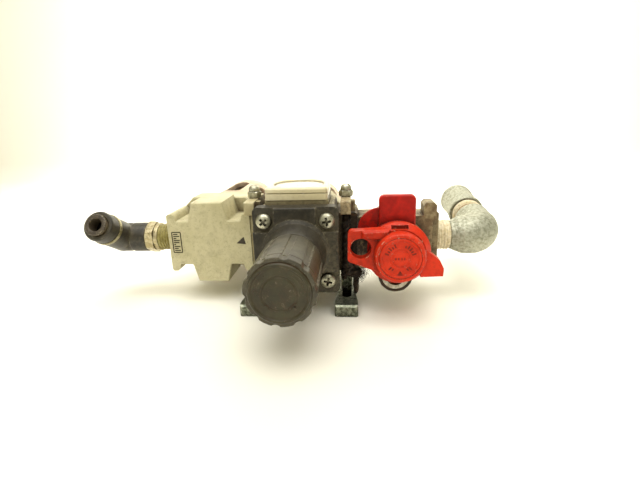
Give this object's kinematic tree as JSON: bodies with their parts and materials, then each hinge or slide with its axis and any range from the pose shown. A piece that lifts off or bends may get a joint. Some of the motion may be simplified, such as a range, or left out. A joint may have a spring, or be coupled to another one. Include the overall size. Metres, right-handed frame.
{
  "type": "filter regulator lubricator",
  "caption": "Modular compressed-air service row: filter with bowl, filter-regulator with knob and square gauge, and a lock-out relief valve, with brackets and pipe fittings.",
  "frame": {"origin": "on the brackets' mounting plane, straight below the middle of the regulator on the port axis", "axes": "+X along the port axis towards the supply side, +Y along the bowls away from the knob, +Z away from the mounting plane towards the gauge face"},
  "size_m": [0.196, 0.1591, 0.0569],
  "materials": {
    "cast_head_enamel": "satin beige paint on die-cast aluminium, soiled",
    "cast_body_enamel": "satin beige paint on die-cast aluminium, soiled",
    "valve_enamel": "beige paint under brown grime",
    "jaw_enamel": "beige paint, dull",
    "spacer_enamel": "beige paint, dull",
    "guard_steel": "pinkish beige paint on steel",
    "bowl_polycarbonate": "clear moulded polycarbonate",
    "bonnet_nylon": "black glass-filled nylon",
    "knob_nylon": "charcoal moulded nylon, worn",
    "cap_nylon": "charcoal moulded disc",
    "button_plastic": "black moulded plastic",
    "drain_plastic": "black moulded plastic",
    "red_acetal": "red moulded acetal, chipped and soiled",
    "red_housing": "red moulded plastic, dull",
    "gauge_abs": "cream moulded ABS",
    "lens_clear": "clear acrylic",
    "dial_paint": "white painted dial",
    "pointer_paint": "black painted brass",
    "plated_screw": "bright zinc plate",
    "bracket_zinc": "zinc plated steel, greasy",
    "stem_brass": "machined brass",
    "spring_steel": "spring steel wire",
    "seal_rubber": "nitrile rubber",
    "element_fibre": "bonded white fibre",
    "inner_acetal": "white moulded acetal",
    "spool_aluminium": "turned aluminium",
    "galvanised_iron": "hot-dip galvanised malleable iron",
    "nipple_iron": "galvanised pipe",
    "stud_nickel": "nickel plated brass",
    "elbow_pbt": "black moulded PBT",
    "ring_brass": "brass band",
    "bushing_acetal": "dark moulded acetal"
  },
  "bodies": {
    "frame": {"filter_head": "cast_head_enamel", "regulator_body": "cast_body_enamel", "bonnet": "bonnet_nylon", "bonnet_screws": "plated_screw", "adjusting_spring": "spring_steel", "valve_spring": "spring_steel", "gauge_case": "gauge_abs", "gauge_cover": "gauge_abs", "gauge_lens": "lens_clear", "gauge_dial": "dial_paint", "spacer_left": "spacer_enamel", "spacer_right": "spacer_enamel", "clamp_left": "jaw_enamel", "clamp_right": "jaw_enamel", "bracket_left": "bracket_zinc", "bracket_right": "bracket_zinc", "spacer_seals": "seal_rubber", "clamp_screws": "plated_screw", "clamp_nuts": "plated_screw", "bracket_screws": "plated_screw", "lockout_body": "valve_enamel", "lockout_housing": "red_housing", "housing_screws": "plated_screw", "street_elbow": "galvanised_iron", "pipe_nipple": "nipple_iron", "pipe_coupling": "galvanised_iron", "fitting_stud": "stud_nickel", "filter_deflector": "inner_acetal", "filter_element": "element_fibre", "filter_baffle": "inner_acetal", "filter_bowl_seal": "seal_rubber", "regulator_deflector": "inner_acetal", "regulator_element": "element_fibre", "regulator_baffle": "inner_acetal", "regulator_bowl_seal": "seal_rubber"},
    "filter_bowl": {"filter_bowl": "bowl_polycarbonate", "filter_bowl_guard": "guard_steel"},
    "filter_button": {"filter_lock_button": "button_plastic"},
    "filter_drain": {"filter_drain_cock": "drain_plastic"},
    "regulator_bowl": {"regulator_bowl": "bowl_polycarbonate", "regulator_bowl_guard": "guard_steel"},
    "regulator_button": {"regulator_lock_button": "button_plastic"},
    "regulator_drain": {"regulator_drain_cock": "drain_plastic"},
    "screw": {"adjusting_screw": "stem_brass"},
    "knob": {"adjusting_knob": "knob_nylon", "knob_cap": "cap_nylon"},
    "seat": {"spring_seat": "stem_brass"},
    "valve": {"diaphragm": "seal_rubber", "valve_stem": "stem_brass"},
    "pointer": {"gauge_pointer": "pointer_paint"},
    "lockout": {"lockout_knob": "red_acetal", "lockout_knob_cap": "red_acetal"},
    "spool": {"lockout_spool": "spool_aluminium"},
    "elbow": {"elbow_fitting": "elbow_pbt", "elbow_ring": "ring_brass", "tube_seal": "seal_rubber"},
    "bushing": {"release_bushing": "bushing_acetal"}
  },
  "joints": [
    {"name": "filter_bowl_twist", "type": "hinge", "parent": "frame", "child": "filter_bowl", "pos_m": [-0.0432, 0, 0.03], "axis": [0, 1, 0], "range_deg": [0, 45]},
    {"name": "filter_button_press", "type": "slide", "parent": "filter_bowl", "child": "filter_button", "axis": [0, 1, 0], "range_m": [0, 0.0022], "stiffness_N_per_m": 200, "springref_m": -0.001},
    {"name": "filter_drain_turn", "type": "hinge", "parent": "filter_bowl", "child": "filter_drain", "pos_m": [-0.0432, 0, 0.03], "axis": [0, 1, 0], "range_deg": [0, 90]},
    {"name": "regulator_bowl_twist", "type": "hinge", "parent": "frame", "child": "regulator_bowl", "pos_m": [0, 0, 0.03], "axis": [0, 1, 0], "range_deg": [0, 45]},
    {"name": "regulator_button_press", "type": "slide", "parent": "regulator_bowl", "child": "regulator_button", "axis": [0, 1, 0], "range_m": [0, 0.0022], "stiffness_N_per_m": 200, "springref_m": -0.001},
    {"name": "regulator_drain_turn", "type": "hinge", "parent": "regulator_bowl", "child": "regulator_drain", "pos_m": [0, 0, 0.03], "axis": [0, 1, 0], "range_deg": [0, 90]},
    {"name": "screw_turn", "type": "hinge", "parent": "frame", "child": "screw", "pos_m": [0, 0, 0.03], "axis": [0, 1, 0], "range_deg": [-540, 1260]},
    {"name": "knob_push", "type": "slide", "parent": "screw", "child": "knob", "axis": [0, 1, 0], "range_m": [0, 0.0012]},
    {"name": "seat_climb", "type": "slide", "parent": "frame", "child": "seat", "axis": [0, 1, 0], "range_m": [-0.0015, 0.0035], "deforming": ["adjusting_spring"]},
    {"name": "valve_lift", "type": "slide", "parent": "frame", "child": "valve", "axis": [0, 1, 0], "range_m": [0, 0.0012], "stiffness_N_per_m": 500, "springref_m": -0.001, "deforming": ["valve_spring"]},
    {"name": "pointer_swing", "type": "hinge", "parent": "frame", "child": "pointer", "pos_m": [0, -0.0058, 0.0546], "axis": [0, 0, -1], "range_deg": [0, 270]},
    {"name": "lockout_turn", "type": "hinge", "parent": "frame", "child": "lockout", "pos_m": [0.0438, 0, 0.03], "axis": [0, 1, 0], "range_deg": [0, 90]},
    {"name": "spool_shift", "type": "slide", "parent": "frame", "child": "spool", "axis": [0, 1, 0], "range_m": [0, 0.003]},
    {"name": "elbow_swivel", "type": "hinge", "parent": "frame", "child": "elbow", "pos_m": [-0.0923, 0, 0.03], "axis": [1, 0, 0], "continuous": true},
    {"name": "bushing_press", "type": "slide", "parent": "elbow", "child": "bushing", "axis": [0, 0.8746, -0.4848], "range_m": [0, 0.001]}
  ],
  "couplings": [
    {"joint": "seat_climb", "follows": "screw_turn", "m_per_rad": 0.00015915},
    {"joint": "spool_shift", "follows": "lockout_turn", "m_per_rad": 0.0019}
  ]
}
